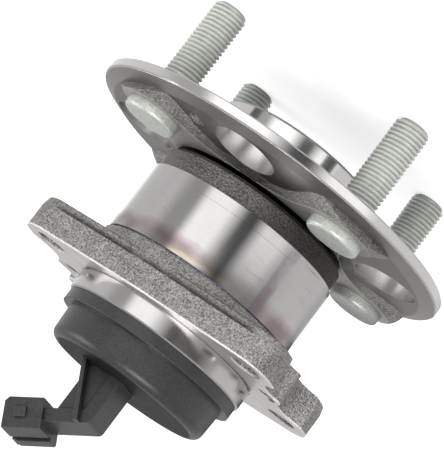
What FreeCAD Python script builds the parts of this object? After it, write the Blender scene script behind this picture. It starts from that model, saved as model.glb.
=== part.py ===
import FreeCAD, Part
import math
import os
import Sketcher

# Rear wheel hub unit: a double-row ball bearing whose outer ring bolts to the axle and whose
# hub carries the wheel on four studs. A plastic cap with the wheel-speed sensor and its plug
# closes the axle end.
#
# Millimetres. Z is the spin axis and points from the wheel to the axle. The origin is the
# centre of the mounting face that meets the axle. X runs along the long side of the mounting
# plate, and the plug leans towards +X.

Vector = FreeCAD.Vector
doc = FreeCAD.newDocument("wheel_hub_unit")
sheet = doc.addObject("Spreadsheet::Sheet", "dim")

# Driving sizes: plain numbers, each under a name of its own in the sheet
SIZES = {
    # Wheel flange, all heights counted from the wheel face
    "wheel_face_drop": 58.6,
    "rim_margin": 15.8,
    "rim_thickness": 3.6,
    "rim_bevel": 0.5,
    "knee_inset": 5.3,
    "knee_height": 5.5,
    "boss_foot_radius": 36.5,
    "boss_foot_height": 7.4,
    "boss_radius": 32.2,
    "boss_height": 9.0,
    "lobe_radius": 12.2,
    "lobe_blend": 28,
    "lobe_depth": 3.6,
    "lobe_spread": 5.6,
    "lobe_end_inset": 2.6,
    "access_hole_radius": 11.3,
    "access_circle_inset": 1.8,
    "screw_hole_radius": 3.3,
    "screw_circle_outset": 1.3,
    "screw_hole_angle": -113.6,

    # Wheel pilot and the hollow inside it
    "pilot_radius": 28,
    "pilot_length": 13.7,
    "pilot_bevel": 0.9,
    "pilot_relief_depth": 0.5,
    "pilot_relief_width": 1.6,
    "hollow_mouth_radius": 20,
    "hollow_floor_radius": 16.5,
    "hollow_depth": 18.5,

    # Wheel studs
    "stud_count": 4,
    "stud_circle_radius": 50,
    "stud_angle": 36.3,
    "stud_radius": 6,
    "stud_reach": 32.5,
    "stud_tip_round": 1.6,
    "knurl_radius": 6.35,
    "head_radius": 9.4,
    "head_height": 3.7,
    "head_round": 1.3,

    # Ball rows
    "inboard_row_drop": 9,
    "row_spacing": 27.2,
    "pitch_radius": 25,
    "ball_radius": 5.556,
    "ball_count": 12,
    "race_clearance": 0.06,
    "race_relief": 0.05,
    "outer_shoulder_rise": 2.6,
    "inner_shoulder_drop": 2.4,
    "cage_wall": 4,
    "cage_back": 6.5,
    "cage_front": 3.6,
    "pocket_clearance": 0.15,

    # Spindle, inner ring and nut
    "seal_land_radius": 24.5,
    "seal_land_length": 6,
    "seal_land_run_out": 0.8,
    "land_root_radius": 26.5,
    "land_root_height": 1.2,
    "inner_bore_radius": 16,
    "inner_ring_end": 2,
    "inner_ring_length": 21,
    "inner_ring_bevel": 0.6,
    "seat_set_back": 0.8,
    "thread_radius": 11,
    "nut_across_flats": 30,
    "nut_height": 10,
    "nut_collar_radius": 18.5,
    "nut_collar_height": 2.6,
    "spindle_tail": 1.3,
    "spindle_tail_bevel": 0.9,

    # Outer ring
    "seal_gap": 1.45,
    "outer_end_radius": 32.5,
    "collar_radius": 33.9,
    "collar_flare": 1.3,
    "collar_length": 7.4,
    "ground_radius": 34.86,
    "ground_bevel": 0.35,
    "neck_depth": 0.5,
    "neck_width": 0.9,
    "shoulder_drop": 15.2,
    "shoulder_radius": 35.5,
    "belt_margin": 4,
    "belt_drop": 8.4,
    "spigot_radius": 33,
    "spigot_length": 7.2,
    "spigot_bevel": 0.5,
    "spigot_relief_depth": 0.5,
    "spigot_relief_width": 0.9,

    # Mounting plate
    "plate_thickness": 11.6,
    "plate_overhang": 12.4,
    "plate_half_width": 34,
    "plate_corner": 11,
    "crown_half_length": 4,
    "crown_set_back": 0.2,
    "plate_draft_angle": 14,
    "waist_radius": 10.5,
    "waist_half_y": 8.5,
    "waist_depth": 6.2,
    "bulge_depth": 3.2,
    "bulge_half_width": 3,
    "plate_edge_round": 1,
    "bolt_end_margin": 9.4,
    "bolt_hole_radius": 5.3,
    "bolt_hole_bevel": 0.4,
    "jack_end_margin": 8.9,
    "jack_hole_radius": 3.4,
    "jack_hole_bevel": 0.8,

    # Wheel-side seal
    "seal_set_back": 0.75,
    "seal_width": 3.5,
    "seal_steel": 0.8,
    "seal_lip_room": 2,
    "lip_clearance": 0.05,
    "lip_thickness": 0.7,

    # Sensor cap
    "cap_ring_inset": 0.7,
    "cap_ring_height": 4.1,
    "cap_step": 2.8,
    "cap_taper": 0.6,
    "cap_height": 15.5,
    "cap_edge_round": 2.8,
    "cap_wall": 2,
    "plug_depth": 5.6,
    "sleeve_steel": 1,
    "sleeve_length": 3.4,
    "plug_slack": 0.1,
    "o_ring_section": 0.84,
    "o_ring_groove_depth": 0.75,

    # Encoder ring and the finger that reads it
    "carrier_steel": 0.8,
    "carrier_grip": 3.4,
    "encoder_radius": 26.8,
    "encoder_thickness": 0.8,
    "encoder_width": 3.1,
    "air_gap": 1,
    "finger_inner_x": 23.4,
    "finger_half_width": 4.2,
    "chip_width": 2.2,
    "chip_half_length": 3.4,
    "chip_height": 3.6,
    "lead_bed": 2.2,

    # Arm and plug, along and across a line that rises by the tilt
    "plug_tilt": 30,
    "arm_left_x": -1.7,
    "arm_thickness": 4.5,
    "arm_middle_y": -1.3,
    "arm_half_depth": 6.5,
    "arm_high_side": 34.5,
    "arm_bend_round": 1.8,
    "gusset_right_x": 10.7,
    "gusset_set_back": 0.7,
    "gusset_thickness": 3,
    "rib_place": 21.3,
    "rib_thickness": 1.4,
    "rib_stand_out": 3,
    "housing_start": 33.4,
    "housing_length": 13,
    "housing_low_side": 27.4,
    "housing_height": 10.3,
    "housing_half_depth": 8.5,
    "housing_bevel": 1.4,
    "housing_wall": 1.4,
    "socket_depth": 9,
    "latch_place": 38.6,
    "latch_length": 3.8,
    "latch_height": 3.3,
    "latch_stand_out": 1.1,
    "key_groove_place": -0.7,
    "key_groove_width": 2.3,
    "key_groove_depth": 0.8,
    "key_rail_width": 4.8,
    "key_rail_height": 0.6,
    "pin_half_spacing": 2,
    "pin_width": 1.5,
    "pin_thickness": 0.64,
    "pin_set_back": 2,
}
for row, (alias, value) in enumerate(SIZES.items(), 1):
    cell = "A%d" % row
    sheet.set(cell, str(value))
    sheet.setAlias(cell, alias)
doc.recompute()


def number(expression):
    """The value that an expression of the sheet has now."""
    return float(sheet.evalExpression(expression.replace("dim.", "")))


def origin_item(body, role):
    return next(item for item in body.Origin.OriginFeatures if item.Role == role)


def new_body(label):
    body = doc.addObject("PartDesign::Body", label)
    body.Label = label
    return body


def new_sketch(body, name, plane="XZ_Plane", lift=None, turn=None):
    """A sketch on one of the body's own planes, lifted off it or turned in it."""
    sketch = body.newObject("Sketcher::SketchObject", name)
    sketch.AttachmentSupport = [(origin_item(body, plane), "")]
    sketch.MapMode = "FlatFace"
    if turn:
        sketch.AttachmentOffset = FreeCAD.Placement(Vector(), FreeCAD.Rotation(Vector(0, 0, 1), 1))
        sketch.setExpression(".AttachmentOffset.Rotation.Angle", turn)
    if lift:
        sketch.setExpression(".AttachmentOffset.Base.z", lift)
    return sketch


def place_point(sketch, geometry, point, x, y):
    """Dimensions from the sketch's origin hold one point, each bound to its expression."""
    for kind, axis, expression in (("DistanceX", -2, x), ("DistanceY", -1, y)):
        value = number(expression)
        if abs(value) < 1e-9:
            sketch.addConstraint(Sketcher.Constraint("PointOnObject", geometry, point, axis))
        else:
            index = sketch.addConstraint(Sketcher.Constraint(kind, -1, 1, geometry, point, value))
            sketch.setExpression("Constraints[%d]" % index, expression)


def outline(sketch, corners):
    """A closed outline of straight lines through corners given as pairs of expressions."""
    first = sketch.GeometryCount
    spots = [Vector(number(x), number(y), 0) for x, y in corners]
    for here, after in zip(spots, spots[1:] + spots[:1]):
        sketch.addGeometry(Part.LineSegment(here, after), False)
    for index, (x, y) in enumerate(corners):
        following = first + (index + 1) % len(corners)
        sketch.addConstraint(Sketcher.Constraint("Coincident", first + index, 2, following, 1))
        place_point(sketch, first + index, 1, x, y)


def box_outline(sketch, left, right, low, high):
    outline(sketch, [(left, low), (right, low), (right, high), (left, high)])


def circle(sketch, x, y, radius):
    spot = Vector(number(x), number(y), 0)
    index = sketch.addGeometry(Part.Circle(spot, Vector(0, 0, 1), number(radius)), False)
    place_point(sketch, index, 3, x, y)
    held = sketch.addConstraint(Sketcher.Constraint("Radius", index, number(radius)))
    sketch.setExpression("Constraints[%d]" % held, radius)


def crowned_plate(sketch, half_x, half_y, corner, crown_x, crown_y):
    """A plate with round corners, whose long sides swell out to a short flat in the middle."""
    bend = number(corner)
    far_x, far_y = number(half_x) - bend, number(half_y) - bend
    mid_x, mid_y = number(crown_x), number(crown_y)
    along, across = far_x - mid_x, mid_y - far_y
    lean = math.acos(bend / math.hypot(along, across)) - math.atan2(along, across)
    upright = math.pi / 2 - lean
    first = sketch.GeometryCount
    for half_turn, side in ((0, 1), (math.pi, -1)):
        level = [Vector(side * (far_x + bend), side * end * far_y, 0) for end in (-1, 1)]
        crown = [Vector(side * mid_x, side * end * mid_y, 0) for end in (-1, 1)]
        centre = [Vector(side * far_x, side * end * far_y, 0) for end in (-1, 1)]
        reach = [Vector(side * bend * math.sin(lean), side * end * bend * math.cos(lean), 0)
                 for end in (-1, 1)]
        rings = [Part.Circle(spot, Vector(0, 0, 1), bend) for spot in centre]
        across_crown = Vector(-side * mid_x, side * mid_y, 0)
        for piece in (Part.LineSegment(crown[0], centre[0] + reach[0]),
                      Part.ArcOfCircle(rings[0], half_turn - upright, half_turn),
                      Part.LineSegment(level[0], level[1]),
                      Part.ArcOfCircle(rings[1], half_turn, half_turn + upright),
                      Part.LineSegment(centre[1] + reach[1], crown[1]),
                      Part.LineSegment(crown[1], across_crown)):
            sketch.addGeometry(piece, False)
    for index in range(12):
        here, following = first + index, first + (index + 1) % 12
        kind = "Tangent" if index % 6 < 4 else "Coincident"
        sketch.addConstraint(Sketcher.Constraint(kind, here, 2, following, 1))
    for arc, sign_x, sign_y in ((1, "", "-"), (3, "", ""), (7, "-", ""), (9, "-", "-")):
        held = sketch.addConstraint(Sketcher.Constraint("Radius", first + arc, bend))
        sketch.setExpression("Constraints[%d]" % held, corner)
        place_point(sketch, first + arc, 3, "%s(%s - %s)" % (sign_x, half_x, corner),
                    "%s(%s - %s)" % (sign_y, half_y, corner))
    for line, sign_x, sign_y in ((0, "", "-"), (5, "", ""), (6, "-", ""), (11, "-", "-")):
        place_point(sketch, first + line, 1, sign_x + crown_x, sign_y + crown_y)


def turned(body, name, sketch, kind="PartDesign::Revolution"):
    """A full turn of a sketch about its upright axis, added or cut away."""
    feature = body.newObject(kind, name)
    feature.Profile = (sketch, [""])
    feature.ReferenceAxis = (sketch, ["V_Axis"])
    feature.Angle = 360
    return feature


def extruded(body, name, sketch, length, kind="PartDesign::Pad", both=False, back=False, draft=None):
    """A straight pull of a sketch, added or cut away."""
    feature = body.newObject(kind, name)
    feature.Profile = (sketch, [""])
    feature.SideType = "Symmetric" if both else "One side"
    feature.Reversed = back
    feature.setExpression("Length", length)
    if draft:
        feature.setExpression("TaperAngle", draft)
    return feature


def around(body, name, feature, count):
    """Copies of a feature at even steps round the spin axis."""
    pattern = body.newObject("PartDesign::PolarPattern", name)
    pattern.Originals = [feature]
    pattern.Axis = (origin_item(body, "Z_Axis"), [""])
    pattern.Angle = 360
    pattern.setExpression("Occurrences", count)
    body.Tip = pattern
    return pattern


def edges_where(feature, wanted):
    doc.recompute()
    return ["Edge%d" % (i + 1) for i, edge in enumerate(feature.Shape.Edges) if wanted(edge)]


def finished(body, kind, name, feature, wanted, amount):
    """A fillet or chamfer on the edges of the feature that pass a test."""
    edges = edges_where(feature, wanted)
    dressing = body.newObject(kind, name)
    dressing.Base = (feature, edges)
    dressing.setExpression("Radius" if kind.endswith("Fillet") else "Size", amount)
    return dressing


def lies_at(edge, height):
    box = edge.BoundBox
    return abs(box.ZMin - height) < 1e-4 and abs(box.ZMax - height) < 1e-4


# Heights, radii and places that several pieces share
RIM = "(dim.stud_circle_radius + dim.rim_margin)"
KNEE = "(dim.stud_circle_radius + dim.rim_margin - dim.knee_inset)"
WHEEL_FACE = "-dim.wheel_face_drop"
BOSS_TOP = "(dim.boss_height - dim.wheel_face_drop)"
OUTER_END = "(dim.boss_height - dim.wheel_face_drop + dim.seal_gap)"
INBOARD_ROW = "-dim.inboard_row_drop"
OUTBOARD_ROW = "-(dim.inboard_row_drop + dim.row_spacing)"
RACE = "(dim.ball_radius + dim.race_clearance)"
OUTER_SHOULDER = "(dim.pitch_radius + dim.outer_shoulder_rise)"
INNER_SHOULDER = "(dim.pitch_radius - dim.inner_shoulder_drop)"
OUTER_BORE = "(dim.pitch_radius + dim.ball_radius + dim.race_clearance + dim.race_relief)"
INNER_WAIST = "(dim.pitch_radius - dim.ball_radius - dim.race_clearance - dim.race_relief)"
INNER_RING_START = "(dim.inner_ring_end - dim.inner_ring_length)"
NUT_TOP = "(dim.inner_ring_end + dim.nut_height)"
SPINDLE_TOP = "(dim.inner_ring_end + dim.nut_height + dim.spindle_tail)"
ENCODER_TOP = "(dim.inner_ring_end + dim.carrier_steel + dim.encoder_thickness)"
BELT = "(dim.spigot_radius + dim.belt_margin)"
PLATE_END = "(dim.spigot_radius + dim.belt_margin + dim.plate_overhang)"
CAP_RING = "(dim.spigot_radius - dim.cap_ring_inset)"
CAP_BODY = "(dim.spigot_radius - dim.cap_ring_inset - dim.cap_step)"
CAP_CROWN = "(dim.spigot_radius - dim.cap_ring_inset - dim.cap_step - dim.cap_taper)"
SEAL_MOUTH = "(dim.seal_land_radius + dim.seal_lip_room)"
CAP_TOP = "(dim.spigot_length + dim.cap_height)"
CAP_CEILING = "(dim.spigot_length + dim.cap_height - dim.cap_wall)"
FINGER_TIP = "(dim.inner_ring_end + dim.carrier_steel + dim.encoder_thickness + dim.air_gap)"
PLUG_RADIUS = "(%s - dim.sleeve_steel - dim.plug_slack)" % OUTER_BORE


def race_groove(body, name, row):
    """The rolling track of one row, turned out of the solid with the ball's own circle."""
    sketch = new_sketch(body, name + "_circle")
    circle(sketch, "dim.pitch_radius", row, RACE)
    return turned(body, name, sketch, "PartDesign::Groove")


def lobe_outline(body, name, lift, spread):
    """Outline of one lobe: a round end, straight sides and hollow bends into the boss."""
    half = "(dim.lobe_radius + %s)" % spread
    hub_side = "(dim.boss_radius + %s)" % spread
    bend_radius = "(dim.lobe_blend - %s)" % spread
    bend_y = "(dim.lobe_radius + dim.lobe_blend)"
    bend_x = "(((dim.boss_radius + dim.lobe_blend)^2 - %s^2)^0.5)" % bend_y
    share = "%s / (dim.boss_radius + dim.lobe_blend)" % hub_side
    root_x, root_y = "(%s * %s)" % (share, bend_x), "(%s * %s)" % (share, bend_y)
    pad = new_sketch(body, name, "XY_Plane", lift=lift)
    width, reach, bend = number(half), number("dim.stud_circle_radius"), number(bend_x)
    turn = math.atan2(number(bend_y), bend)
    for side in (-1, 1):
        ends = [Vector(bend, side * width, 0), Vector(reach, side * width, 0)]
        pad.addGeometry(Part.LineSegment(*ends[::-side]), False)
    ring = Part.Circle(Vector(reach, 0, 0), Vector(0, 0, 1), width)
    pad.addGeometry(Part.ArcOfCircle(ring, -math.pi / 2, math.pi / 2), False)
    for side, start, stop in ((-1, math.pi / 2, math.pi - turn), (1, turn - math.pi, -math.pi / 2)):
        centre = Vector(bend, side * number(bend_y), 0)
        ring = Part.Circle(centre, Vector(0, 0, 1), number(bend_radius))
        pad.addGeometry(Part.ArcOfCircle(ring, start, stop), False)
    root = [Vector(number(root_x), side * number(root_y), 0) for side in (1, -1)]
    pad.addGeometry(Part.LineSegment(*root), False)
    for first, first_end, second, second_end in ((0, 2, 2, 1), (2, 2, 1, 1), (0, 1, 3, 1),
                                                 (1, 2, 4, 2)):
        pad.addConstraint(Sketcher.Constraint("Tangent", first, first_end, second, second_end))
    pad.addConstraint(Sketcher.Constraint("Coincident", 4, 1, 5, 1))
    pad.addConstraint(Sketcher.Constraint("Coincident", 3, 2, 5, 2))
    held = pad.addConstraint(Sketcher.Constraint("Radius", 2, width))
    pad.setExpression("Constraints[%d]" % held, half)
    place_point(pad, 2, 3, "dim.stud_circle_radius", "0")
    place_point(pad, 3, 3, bend_x, "-" + bend_y)
    place_point(pad, 4, 3, bend_x, bend_y)
    place_point(pad, 5, 1, root_x, root_y)
    place_point(pad, 5, 2, root_x, "-" + root_y)
    return pad


def make_hub_flange():
    """Forged wheel flange with the pilot, the spindle and the track of the outboard row."""
    body = new_body("hub_flange")
    pilot_end = "-(dim.wheel_face_drop + dim.pilot_length)"
    hollow_floor = "(dim.hollow_depth - dim.wheel_face_drop - dim.pilot_length)"
    section = new_sketch(body, "hub_section")
    outline(section, [
        ("0", hollow_floor),
        ("dim.hollow_floor_radius", hollow_floor),
        ("dim.hollow_mouth_radius", pilot_end),
        ("dim.pilot_radius - dim.pilot_bevel", pilot_end),
        ("dim.pilot_radius", "%s + dim.pilot_bevel" % pilot_end),
        ("dim.pilot_radius", WHEEL_FACE + " - dim.pilot_relief_width"),
        ("dim.pilot_radius - dim.pilot_relief_depth", WHEEL_FACE + " - dim.pilot_relief_width"),
        ("dim.pilot_radius - dim.pilot_relief_depth", WHEEL_FACE + " + dim.pilot_relief_depth"),
        ("dim.pilot_radius + dim.pilot_relief_depth", WHEEL_FACE + " + dim.pilot_relief_depth"),
        ("dim.pilot_radius + dim.pilot_relief_depth", WHEEL_FACE),
        (RIM + " - dim.rim_bevel", WHEEL_FACE),
        (RIM, WHEEL_FACE + " + dim.rim_bevel"),
        (RIM, WHEEL_FACE + " + dim.rim_thickness - dim.rim_bevel"),
        (RIM + " - dim.rim_bevel", WHEEL_FACE + " + dim.rim_thickness"),
        (KNEE, WHEEL_FACE + " + dim.knee_height"),
        ("dim.boss_foot_radius", WHEEL_FACE + " + dim.boss_foot_height"),
        ("dim.boss_radius", BOSS_TOP),
        ("dim.land_root_radius", BOSS_TOP),
        ("dim.seal_land_radius", BOSS_TOP + " + dim.land_root_height"),
        ("dim.seal_land_radius", BOSS_TOP + " + dim.seal_land_length"),
        (INNER_SHOULDER, BOSS_TOP + " + dim.seal_land_length + dim.seal_land_run_out"),
        (INNER_SHOULDER, OUTBOARD_ROW),
        (INNER_WAIST, OUTBOARD_ROW),
        (INNER_WAIST, INNER_RING_START),
        ("dim.inner_bore_radius", INNER_RING_START),
        ("dim.inner_bore_radius", "dim.inner_ring_end - dim.seat_set_back"),
        ("dim.thread_radius", "dim.inner_ring_end - dim.seat_set_back"),
        ("dim.thread_radius", SPINDLE_TOP + " - dim.spindle_tail_bevel"),
        ("dim.thread_radius - dim.spindle_tail_bevel", SPINDLE_TOP),
        ("0", SPINDLE_TOP)])
    turned(body, "hub_turning", section)

    # One lobe: the pad under a stud head, lofted out to a wider foot for its forging draft
    pad_top = lobe_outline(body, "lobe_top", BOSS_TOP, "0")
    foot = lobe_outline(body, "lobe_foot", BOSS_TOP + " - dim.lobe_depth", "dim.lobe_spread")
    lobe = body.newObject("PartDesign::AdditiveLoft", "lobe")
    lobe.Profile = (pad_top, [""])
    lobe.Sections = [(foot, [""])]
    lobe.Ruled = True
    around(body, "lobes", lobe, "dim.stud_count")

    # The rim was turned after forging, which takes off what the lobes have too much
    turned_off = new_sketch(body, "rim_trim_section")
    outline(turned_off, [
        (KNEE, WHEEL_FACE + " + dim.knee_height"),
        (RIM + " - dim.rim_bevel", WHEEL_FACE + " + dim.rim_thickness"),
        (RIM + " + dim.lobe_radius", WHEEL_FACE + " + dim.rim_thickness"),
        (RIM + " + dim.lobe_radius", BOSS_TOP + " + 1"),
        (RIM + " - dim.lobe_end_inset", BOSS_TOP + " + 1")])
    turned(body, "rim_trim", turned_off, "PartDesign::Groove")

    # Holes that go right through the flange, once for each stud
    for name, x, radius, turn in (
            ("stud_hole", "dim.stud_circle_radius", "dim.knurl_radius", "0"),
            ("access_hole", "dim.stud_circle_radius - dim.access_circle_inset",
             "dim.access_hole_radius", "180 / dim.stud_count")):
        spot = new_sketch(body, name + "_spot", "XY_Plane", lift=BOSS_TOP + " + 1", turn=turn)
        circle(spot, x, "0", radius)
        hole = extruded(body, name, spot, "dim.boss_height + 2", "PartDesign::Pocket")
        around(body, name + "s", hole, "dim.stud_count")

    # Tapped hole that holds the brake drum
    spot = new_sketch(body, "screw_hole_spot", "XY_Plane", lift=BOSS_TOP + " + 1",
                      turn="dim.screw_hole_angle")
    circle(spot, "dim.stud_circle_radius + dim.screw_circle_outset", "0", "dim.screw_hole_radius")
    extruded(body, "screw_hole", spot, "dim.boss_height + 2", "PartDesign::Pocket")
    race_groove(body, "outboard_inner_track", OUTBOARD_ROW)
    body.setExpression(".Placement.Rotation.Angle", "dim.stud_angle")
    return body


def make_wheel_stud(index):
    """Pressed-in stud: threaded shank, knurled neck and low round head."""
    body = new_body("wheel_stud_%d" % (index + 1))
    section = new_sketch(body, body.Label + "_section")
    outline(section, [
        ("0", "-dim.stud_reach"),
        ("dim.stud_radius", "-dim.stud_reach"),
        ("dim.stud_radius", "0"),
        ("dim.knurl_radius", "0"),
        ("dim.knurl_radius", "dim.boss_height"),
        ("dim.head_radius", "dim.boss_height"),
        ("dim.head_radius", "dim.boss_height + dim.head_height"),
        ("0", "dim.boss_height + dim.head_height")])
    shank = turned(body, body.Label + "_turning", section)
    tip = finished(body, "PartDesign::Fillet", body.Label + "_tip", shank,
                   lambda edge: lies_at(edge, -number("dim.stud_reach")) and edge.Length > 1,
                   "dim.stud_tip_round")
    top = number("dim.boss_height + dim.head_height")
    finished(body, "PartDesign::Fillet", body.Label + "_head_round", tip,
             lambda edge: lies_at(edge, top) and edge.Length > 1, "dim.head_round")
    angle = "(dim.stud_angle + %d * 360 / dim.stud_count)" % index
    body.setExpression(".Placement.Base.x", "dim.stud_circle_radius * cos(%s)" % angle)
    body.setExpression(".Placement.Base.y", "dim.stud_circle_radius * sin(%s)" % angle)
    body.setExpression(".Placement.Base.z", WHEEL_FACE)
    return body


def make_inner_ring():
    """Pressed-on inner ring with the inboard track and its high shoulder."""
    body = new_body("inner_ring")
    section = new_sketch(body, "inner_ring_section")
    outline(section, [
        ("dim.inner_bore_radius", INNER_RING_START),
        (INNER_WAIST, INNER_RING_START),
        (INNER_WAIST, INBOARD_ROW),
        (INNER_SHOULDER, INBOARD_ROW),
        (INNER_SHOULDER, "dim.inner_ring_end"),
        ("dim.inner_bore_radius + dim.inner_ring_bevel", "dim.inner_ring_end"),
        ("dim.inner_bore_radius", "dim.inner_ring_end - dim.inner_ring_bevel")])
    turned(body, "inner_ring_turning", section)
    race_groove(body, "inboard_inner_track", INBOARD_ROW)
    return body


def make_spindle_nut():
    """Collared hexagon nut that clamps the inner ring on the spindle."""
    body = new_body("spindle_nut")
    hexagon = new_sketch(body, "nut_hexagon", "XY_Plane", lift="dim.inner_ring_end")
    apex = "dim.nut_across_flats / 3^0.5"
    corners = []
    for step in range(6):
        corners.append(("%s * cos(%d)" % (apex, 60 * step), "%s * sin(%d)" % (apex, 60 * step)))
    outline(hexagon, corners)
    extruded(body, "nut_block", hexagon, "dim.nut_height")
    collar = new_sketch(body, "nut_collar_circle", "XY_Plane", lift="dim.inner_ring_end")
    circle(collar, "0", "0", "dim.nut_collar_radius")
    extruded(body, "nut_collar", collar, "dim.nut_collar_height")
    bore = new_sketch(body, "nut_bore_circle", "XY_Plane", lift=NUT_TOP)
    circle(bore, "0", "0", "dim.thread_radius")
    extruded(body, "nut_bore", bore, "dim.nut_height", "PartDesign::Pocket")
    return body


def make_outer_ring():
    """Forged outer ring: mounting plate, ground barrel, axle spigot and both outer tracks."""
    body = new_body("outer_ring")

    # Plate: a straight-sided layer and, towards the wheel, a drafted one meet at the parting line
    for name, height, draft in (("plate", "dim.belt_drop", None),
                                ("plate_top", "dim.plate_thickness - dim.belt_drop",
                                 "-dim.plate_draft_angle")):
        lift = "0" if draft is None else "-dim.belt_drop"
        layer = new_sketch(body, name + "_outline", "XY_Plane", lift=lift)
        crowned_plate(layer, PLATE_END, "dim.plate_half_width", "dim.plate_corner",
                      "dim.crown_half_length", "(%s - dim.crown_set_back)" % BELT)
        plate = extruded(body, name, layer, height, back=True, draft=draft)
    plate_top = -number("dim.plate_thickness")
    plate = finished(body, "PartDesign::Fillet", "plate_edge", plate,
                     lambda edge: lies_at(edge, plate_top), "dim.plate_edge_round")

    # Each end is drawn in on both sides of its jacking hole, which leaves a low bulge
    waist = new_sketch(body, "waist_circles", "XY_Plane")
    bulge = new_sketch(body, "bulge_outline", "XY_Plane")
    for end in ("", "-"):
        for side in ("", "-"):
            circle(waist, end + "(%s + dim.waist_radius - dim.waist_depth)" % PLATE_END,
                   side + "dim.waist_half_y", "dim.waist_radius")
        box_outline(bulge, end + "(%s - dim.bulge_depth)" % PLATE_END,
                    end + "(%s + 1)" % PLATE_END, "-dim.bulge_half_width",
                    "dim.bulge_half_width")
    extruded(body, "waists", waist, "dim.plate_thickness + 1", "PartDesign::Pocket")
    extruded(body, "bulges", bulge, "dim.plate_thickness + 1", "PartDesign::Pocket")

    section = new_sketch(body, "ring_section")
    ground_start = OUTER_END + " + dim.collar_length"
    neck_start = "-(dim.shoulder_drop + dim.neck_width)"
    outline(section, [
        (OUTER_SHOULDER, OUTER_END),
        ("dim.outer_end_radius", OUTER_END),
        ("dim.collar_radius", OUTER_END + " + dim.collar_flare"),
        ("dim.collar_radius", ground_start),
        ("dim.ground_radius - dim.ground_bevel", ground_start),
        ("dim.ground_radius", ground_start + " + dim.ground_bevel"),
        ("dim.ground_radius", neck_start),
        ("dim.ground_radius - dim.neck_depth", neck_start),
        ("dim.ground_radius - dim.neck_depth", "-dim.shoulder_drop"),
        ("dim.shoulder_radius", "-dim.shoulder_drop"),
        (BELT, "-dim.belt_drop"),
        (BELT, "0"),
        ("dim.spigot_radius", "0"),
        ("dim.spigot_radius", "dim.spigot_length - dim.spigot_bevel"),
        ("dim.spigot_radius - dim.spigot_bevel", "dim.spigot_length"),
        (OUTER_SHOULDER, "dim.spigot_length")])
    turned(body, "ring_turning", section)
    relief = new_sketch(body, "spigot_relief_section")
    box_outline(relief, "dim.spigot_radius - dim.spigot_relief_depth",
                "dim.spigot_radius + dim.spigot_relief_depth / 2",
                "-dim.spigot_relief_depth / 2", "dim.spigot_relief_width")
    turned(body, "spigot_relief", relief, "PartDesign::Groove")

    # Bore: a land between the rows, opened out from each row to its own end
    opened = new_sketch(body, "bore_section")
    for low, high in ((OUTER_END + " - 1", OUTBOARD_ROW), (INBOARD_ROW, "dim.spigot_length + 1")):
        box_outline(opened, "0", OUTER_BORE, low, high)
    turned(body, "opened_bore", opened, "PartDesign::Groove")
    land = new_sketch(body, "land_section")
    box_outline(land, "0", OUTER_SHOULDER, OUTER_END + " - 2", "dim.spigot_length + 2")
    turned(body, "land_bore", land, "PartDesign::Groove")
    race_groove(body, "outboard_outer_track", OUTBOARD_ROW)
    race_groove(body, "inboard_outer_track", INBOARD_ROW)

    # Four bolt holes and two tapped jacking holes, all right through the plate
    holes = new_sketch(body, "plate_hole_circles", "XY_Plane")
    for sign_x in ("", "-"):
        for sign_y in ("", "-"):
            circle(holes, sign_x + "(%s - dim.bolt_end_margin)" % PLATE_END,
                   sign_y + "(dim.plate_half_width - dim.plate_corner)", "dim.bolt_hole_radius")
    drilled = extruded(body, "bolt_holes", holes, "dim.plate_thickness + 1", "PartDesign::Pocket")
    jacks = new_sketch(body, "jack_hole_circles", "XY_Plane")
    for sign_x in ("", "-"):
        circle(jacks, sign_x + "(%s - dim.jack_end_margin)" % PLATE_END, "0",
               "dim.jack_hole_radius")
    drilled = extruded(body, "jack_holes", jacks, "dim.plate_thickness + 1", "PartDesign::Pocket")
    for name, radius, bevel in (("bolt", "dim.bolt_hole_radius", "dim.bolt_hole_bevel"),
                                ("jack", "dim.jack_hole_radius", "dim.jack_hole_bevel")):
        girth = 2 * math.pi * number(radius)
        drilled = finished(body, "PartDesign::Chamfer", name + "_hole_bevels", drilled,
                           lambda edge: lies_at(edge, 0) and abs(edge.Length - girth) < 1e-3, bevel)
    return body


def make_seal_case():
    """Pressed steel case of the wheel-side seal."""
    body = new_body("seal_case")
    mouth = OUTER_END + " + dim.seal_set_back"
    section = new_sketch(body, "seal_case_section")
    outline(section, [
        (SEAL_MOUTH, mouth),
        (OUTER_BORE, mouth),
        (OUTER_BORE, mouth + " + dim.seal_width"),
        (OUTER_BORE + " - dim.seal_steel", mouth + " + dim.seal_width"),
        (OUTER_BORE + " - dim.seal_steel", mouth + " + dim.seal_steel"),
        (SEAL_MOUTH, mouth + " + dim.seal_steel")])
    turned(body, "seal_case_turning", section)
    return body


def make_seal_lip():
    """Rubber of the seal: a dust lip and a grease lip that both ride on the seal land."""
    body = new_body("seal_lip")
    mouth = OUTER_END + " + dim.seal_set_back"
    back = mouth + " + dim.seal_steel"
    ride = "dim.seal_land_radius + dim.lip_clearance"
    stem = ride + " + dim.lip_thickness"
    section = new_sketch(body, "seal_lip_section")
    outline(section, [
        (SEAL_MOUTH, mouth),
        (SEAL_MOUTH, back),
        (OUTER_BORE + " - dim.seal_steel", back),
        (OUTER_BORE + " - dim.seal_steel", back + " + dim.lip_thickness"),
        (stem + " + dim.lip_thickness", back + " + dim.lip_thickness"),
        (ride, mouth + " + dim.seal_width"),
        (ride, mouth + " + dim.seal_width - dim.lip_thickness"),
        (stem, back + " + 0.3"),
        (stem, back),
        (ride, mouth + " + 0.3"),
        (ride, mouth)])
    turned(body, "seal_lip_turning", section)
    return body


def make_cap_sleeve():
    """Steel sleeve that holds the cap in the bore of the outer ring."""
    body = new_body("cap_sleeve")
    section = new_sketch(body, "cap_sleeve_section")
    low = "dim.spigot_length - dim.plug_depth"
    box_outline(section, OUTER_BORE + " - dim.sleeve_steel", OUTER_BORE, low,
                low + " + dim.sleeve_length")
    turned(body, "cap_sleeve_turning", section)
    return body


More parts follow.
